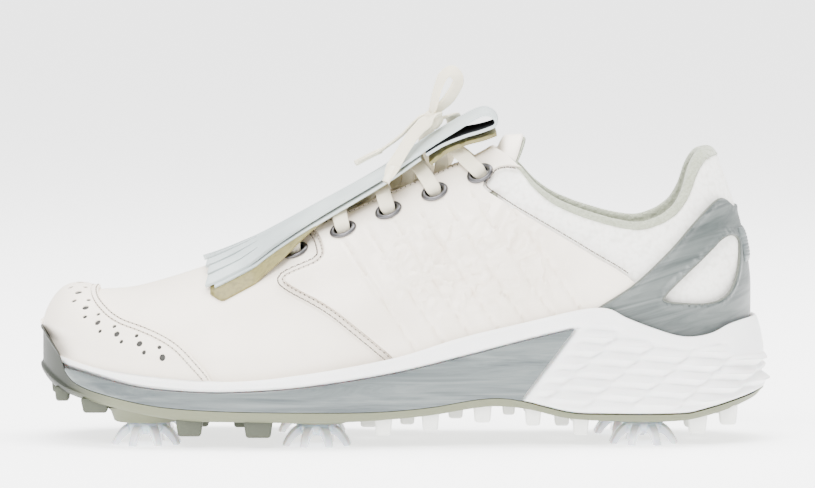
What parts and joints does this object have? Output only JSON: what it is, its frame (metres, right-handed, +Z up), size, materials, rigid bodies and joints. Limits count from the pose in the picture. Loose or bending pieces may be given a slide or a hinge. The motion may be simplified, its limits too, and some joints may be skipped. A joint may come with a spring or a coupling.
{
  "type": "golf shoe",
  "caption": "Low-cut spiked golf shoe for the left foot: layered leather upper, laced, with a fringed kiltie, foam midsole and twist-lock spikes.",
  "frame": {"origin": "on the ground plane under the middle of the shoe's own bounding box", "axes": "+X from toe to heel, -Y towards the outer (lateral) side, +Z up"},
  "size_m": [0.3, 0.1102, 0.153],
  "materials": {
    "smooth_leather": "semi-gloss fine-grained leather",
    "pebbled_leather": "matt pebbled leather",
    "kiltie_leather": "smooth leather, raw edges",
    "kiltie_suede": "napped underside",
    "lining_mesh": "spacer mesh",
    "lace_cotton": "flat woven lace",
    "aglet": "clear film over lace",
    "stiffener": "thermoformed sheet",
    "foam": "moulded foam skin",
    "padding": "open-cell foam",
    "grey_tpu": "streaked satin",
    "outsole_rubber": "matt",
    "spike": "translucent satin",
    "receptacle": "matt",
    "eyelet_metal": "dark nickel",
    "shank": "glass-filled nylon"
  },
  "bodies": {
    "root": {"toe_cap": "smooth_leather", "vamp": "smooth_leather", "quarter_lateral": "smooth_leather", "quarter_medial": "smooth_leather", "tongue": "smooth_leather", "collar_panel_lateral": "pebbled_leather", "collar_panel_medial": "pebbled_leather", "heel_tab": "pebbled_leather", "kiltie_fold": "kiltie_leather", "kiltie_backing": "kiltie_suede", "vamp_lining": "lining_mesh", "quarter_lining": "lining_mesh", "tongue_padding": "lining_mesh", "sockliner": "lining_mesh", "lace_bar_1": "lace_cotton", "lace_crossing_2": "lace_cotton", "lace_crossing_3": "lace_cotton", "lace_crossing_4": "lace_cotton", "lace_crossing_5": "lace_cotton", "lace_knot": "lace_cotton", "bow_loop_near": "lace_cotton", "bow_loop_far": "lace_cotton", "toe_puff": "stiffener", "heel_counter": "stiffener", "strobel_board": "stiffener", "midsole": "foam", "collar_foam": "padding", "heel_cage": "grey_tpu", "heel_pad": "grey_tpu", "side_band_lateral": "grey_tpu", "side_band_medial": "grey_tpu", "outsole": "outsole_rubber", "shank": "shank", "receptacle_1": "receptacle", "receptacle_2": "receptacle", "receptacle_3": "receptacle", "receptacle_4": "receptacle", "receptacle_5": "receptacle", "receptacle_6": "receptacle", "eyelet_lateral_1": "eyelet_metal", "eyelet_lateral_2": "eyelet_metal", "eyelet_lateral_3": "eyelet_metal", "eyelet_lateral_4": "eyelet_metal", "eyelet_lateral_5": "eyelet_metal", "eyelet_medial_1": "eyelet_metal", "eyelet_medial_2": "eyelet_metal", "eyelet_medial_3": "eyelet_metal", "eyelet_medial_4": "eyelet_metal", "eyelet_medial_5": "eyelet_metal"},
    "flap": {"kiltie_flap": "kiltie_leather", "lace_tail_short": "lace_cotton", "lace_tail_long": "lace_cotton", "aglet_short": "aglet", "aglet_long": "aglet"},
    "spike_front_lateral": {"cleat_1": "spike"},
    "spike_front_medial": {"cleat_2": "spike"},
    "spike_ball_lateral": {"cleat_3": "spike"},
    "spike_ball_medial": {"cleat_4": "spike"},
    "spike_heel_lateral": {"cleat_5": "spike"},
    "spike_heel_medial": {"cleat_6": "spike"}
  },
  "joints": [
    {"name": "kiltie_lift", "type": "hinge", "parent": "root", "child": "flap", "pos_m": [0.009, 0, 0.124], "axis": [0, 1, 0], "range_deg": [0, 55], "deforming": ["lace_tail_short", "lace_tail_long"]},
    {"name": "spike_turn_front_lateral", "type": "hinge", "parent": "root", "child": "spike_front_lateral", "pos_m": [-0.105, -0.02616, 0.0092], "axis": [0, 0, 1], "range_deg": [0, 60]},
    {"name": "spike_turn_front_medial", "type": "hinge", "parent": "root", "child": "spike_front_medial", "pos_m": [-0.103, 0.02784, 0.0092], "axis": [0, 0, 1], "range_deg": [0, 60]},
    {"name": "spike_turn_ball_lateral", "type": "hinge", "parent": "root", "child": "spike_ball_lateral", "pos_m": [-0.035, -0.03216, 0.0092], "axis": [0, 0, 1], "range_deg": [0, 60]},
    {"name": "spike_turn_ball_medial", "type": "hinge", "parent": "root", "child": "spike_ball_medial", "pos_m": [-0.038, 0.02984, 0.0092], "axis": [0, 0, 1], "range_deg": [0, 60]},
    {"name": "spike_turn_heel_lateral", "type": "hinge", "parent": "root", "child": "spike_heel_lateral", "pos_m": [0.099, -0.02216, 0.0092], "axis": [0, 0, 1], "range_deg": [0, 60]},
    {"name": "spike_turn_heel_medial", "type": "hinge", "parent": "root", "child": "spike_heel_medial", "pos_m": [0.094, 0.02384, 0.0092], "axis": [0, 0, 1], "range_deg": [0, 60]}
  ]
}
